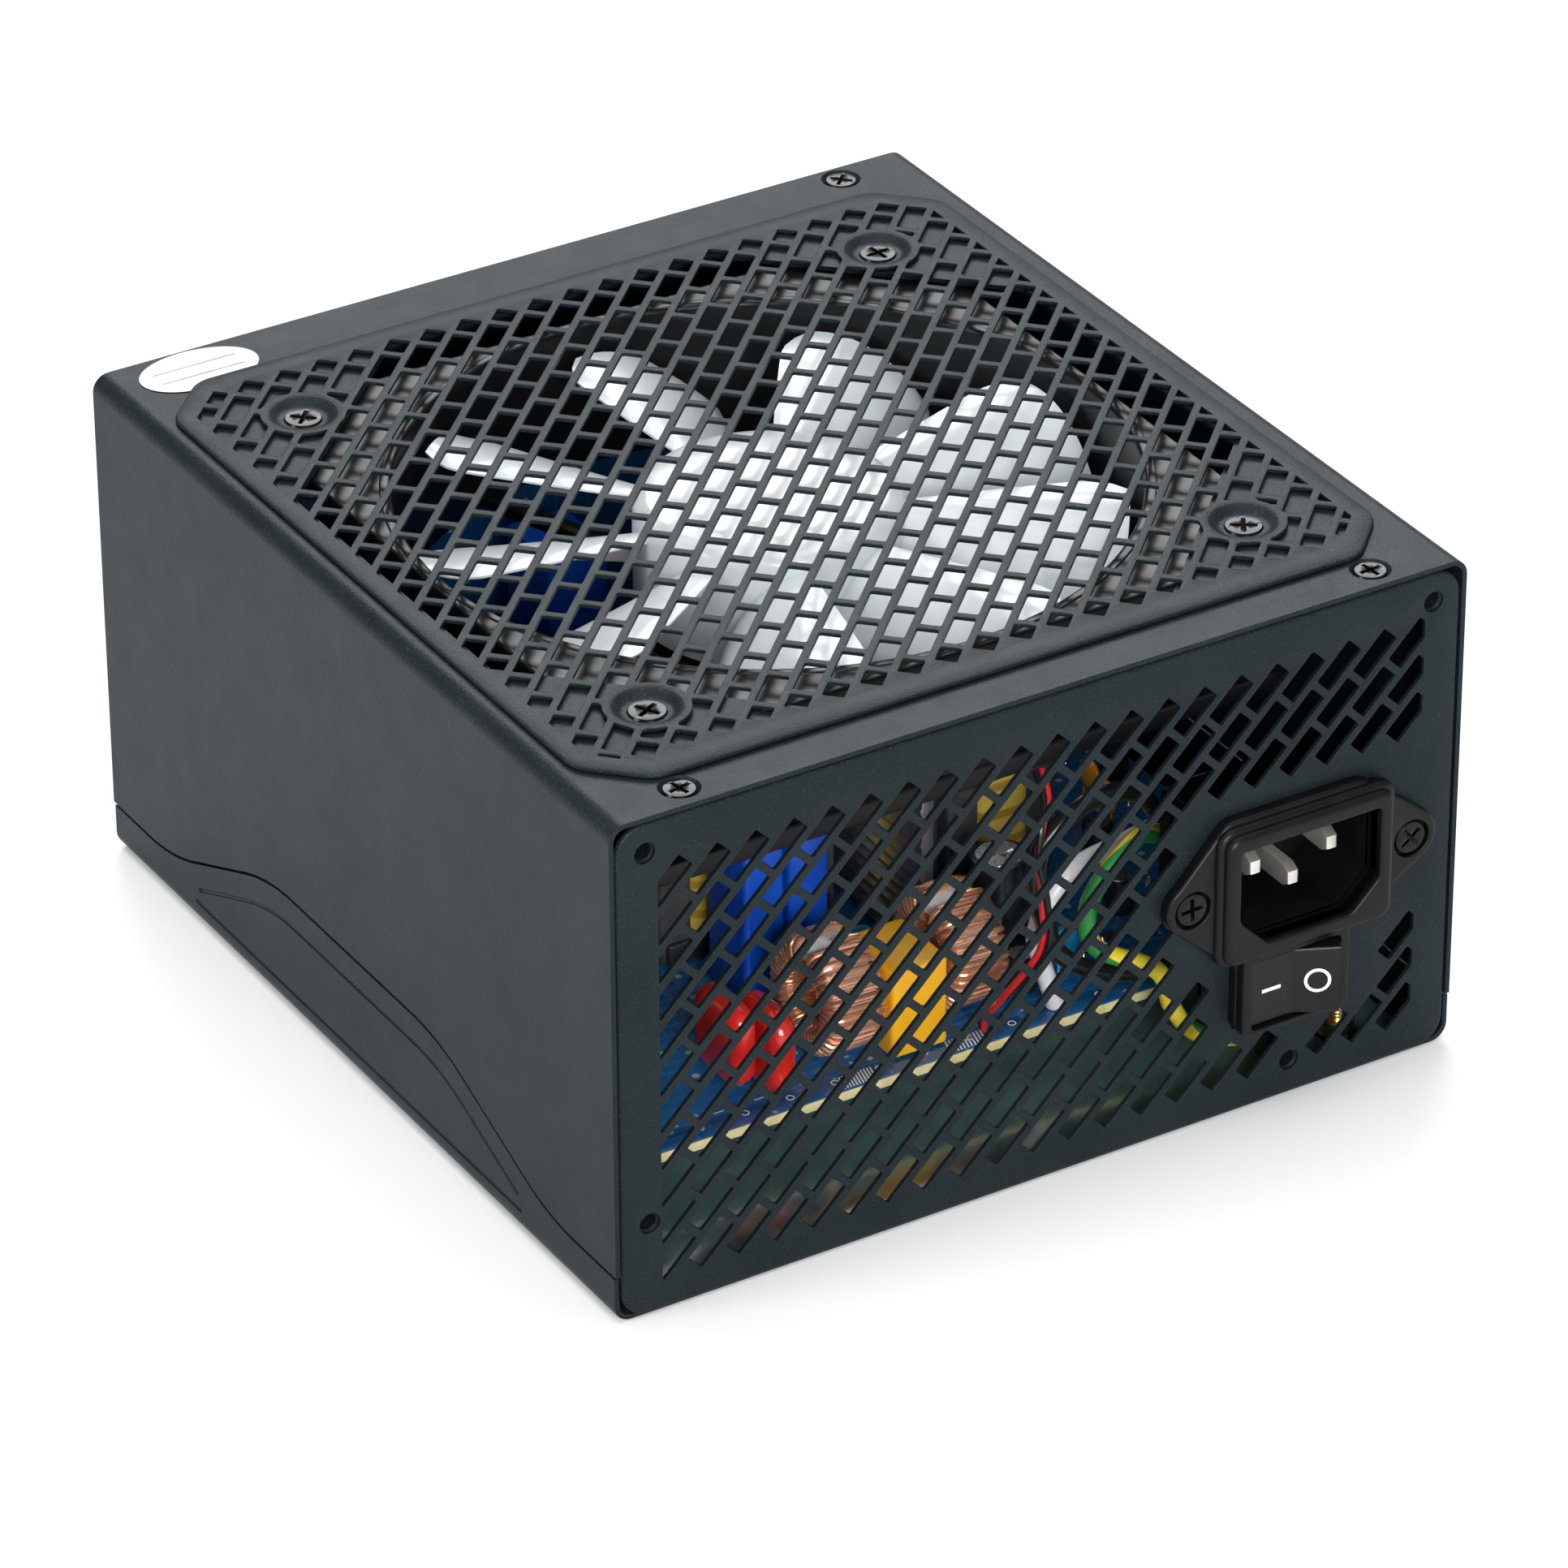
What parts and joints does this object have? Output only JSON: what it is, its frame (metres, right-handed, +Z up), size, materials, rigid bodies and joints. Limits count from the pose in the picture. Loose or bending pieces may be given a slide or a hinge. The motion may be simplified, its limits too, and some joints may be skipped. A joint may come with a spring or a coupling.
{
  "type": "computer power supply unit",
  "caption": "Boxed desktop computer power supply with a slotted top fan grille, slotted rear panel, mains inlet, rocker switch and modular output sockets.",
  "frame": {"origin": "centre of the case's flat underside", "axes": "+Z up out of the fan grille, -Y out of the panel with the mains inlet and switch, +X to the right seen from that panel"},
  "size_m": [0.15, 0.1688, 0.0869],
  "materials": {
    "case_paint": "fine-textured dark blue-grey powder coat",
    "black_screw": "black-plated steel",
    "sticker": "white label film",
    "black_plastic": "fine-grained black moulding",
    "rocker_plastic": "smooth black moulding",
    "pin_metal": "nickel-plated",
    "fan_black": "black moulding",
    "fan_white": "translucent white moulding",
    "steel": "ground steel",
    "copper": "enamelled copper winding",
    "board_blue": "solder mask",
    "clear_film": "clear film",
    "brass": "machined brass",
    "aluminium": "plain extruded aluminium",
    "capacitor_sleeve": "black sleeve",
    "capacitor_can": "aluminium can",
    "red_epoxy": "dipped epoxy",
    "yellow_plastic": "moulded case",
    "blue_plastic": "moulded case",
    "transformer": "ferrite core and taped winding",
    "chip_black": "moulded package",
    "socket_plastic": "black moulding",
    "wire_black": "black insulation",
    "wire_white": "white sleeve",
    "wire_green": "green-yellow insulation",
    "wire_red": "thin insulated leads"
  },
  "bodies": {
    "case": {"air_baffle": "clear_film", "board_post_1": "brass", "board_post_2": "brass", "board_post_3": "brass", "board_post_4": "brass", "bottom_tray": "case_paint", "box_capacitor_left": "blue_plastic", "box_capacitor_right": "blue_plastic", "bridge_rectifier": "chip_black", "bulk_capacitor": "capacitor_sleeve", "circuit_board": "board_blue", "cover_screw_1": "black_screw", "cover_screw_2": "black_screw", "cover_screw_3": "black_screw", "cover_screw_4": "black_screw", "earth_lead": "wire_green", "earth_screw": "brass", "fan_frame": "fan_black", "fan_grille": "case_paint", "fan_lead": "wire_red", "fan_screw_1": "black_screw", "fan_screw_2": "black_screw", "fan_screw_3": "black_screw", "fan_screw_4": "black_screw", "fan_stator": "copper", "film_capacitor_left": "red_epoxy", "film_capacitor_right": "red_epoxy", "inductor_box": "blue_plastic", "inlet_housing": "black_plastic", "inlet_pin_earth": "pin_metal", "inlet_pin_live": "pin_metal", "inlet_pin_neutral": "pin_metal", "inlet_screw_left": "black_screw", "inlet_screw_right": "black_screw", "input_choke_left": "copper", "input_choke_right": "copper", "insulating_sheet": "clear_film", "live_lead": "wire_black", "main_transformer": "transformer", "mainboard_socket": "socket_plastic", "neutral_lead": "wire_white", "output_board": "board_blue", "output_capacitor_1": "capacitor_can", "output_capacitor_2": "capacitor_can", "output_capacitor_3": "capacitor_can", "output_choke": "copper", "power_socket_1": "socket_plastic", "power_socket_2": "socket_plastic", "power_socket_3": "socket_plastic", "power_socket_4": "socket_plastic", "primary_heatsink": "aluminium", "seal_sticker": "sticker", "secondary_heatsink": "aluminium", "standby_capacitor": "capacitor_can", "standby_transformer": "transformer", "top_cover": "case_paint", "x_capacitor": "yellow_plastic"},
    "fan_rotor": {"fan_impeller": "fan_white", "fan_shaft": "steel"},
    "rocker": {"rocker": "rocker_plastic"}
  },
  "joints": [
    {"name": "fan_spin", "type": "hinge", "parent": "case", "child": "fan_rotor", "pos_m": [-0.0008, -0.0017, 0.083], "axis": [0, 0, 1], "continuous": true},
    {"name": "rocker_tilt", "type": "hinge", "parent": "case", "child": "rocker", "pos_m": [0.0433, -0.0819, 0.0226], "axis": [0, 0, 1], "range_deg": [0, 26]}
  ]
}
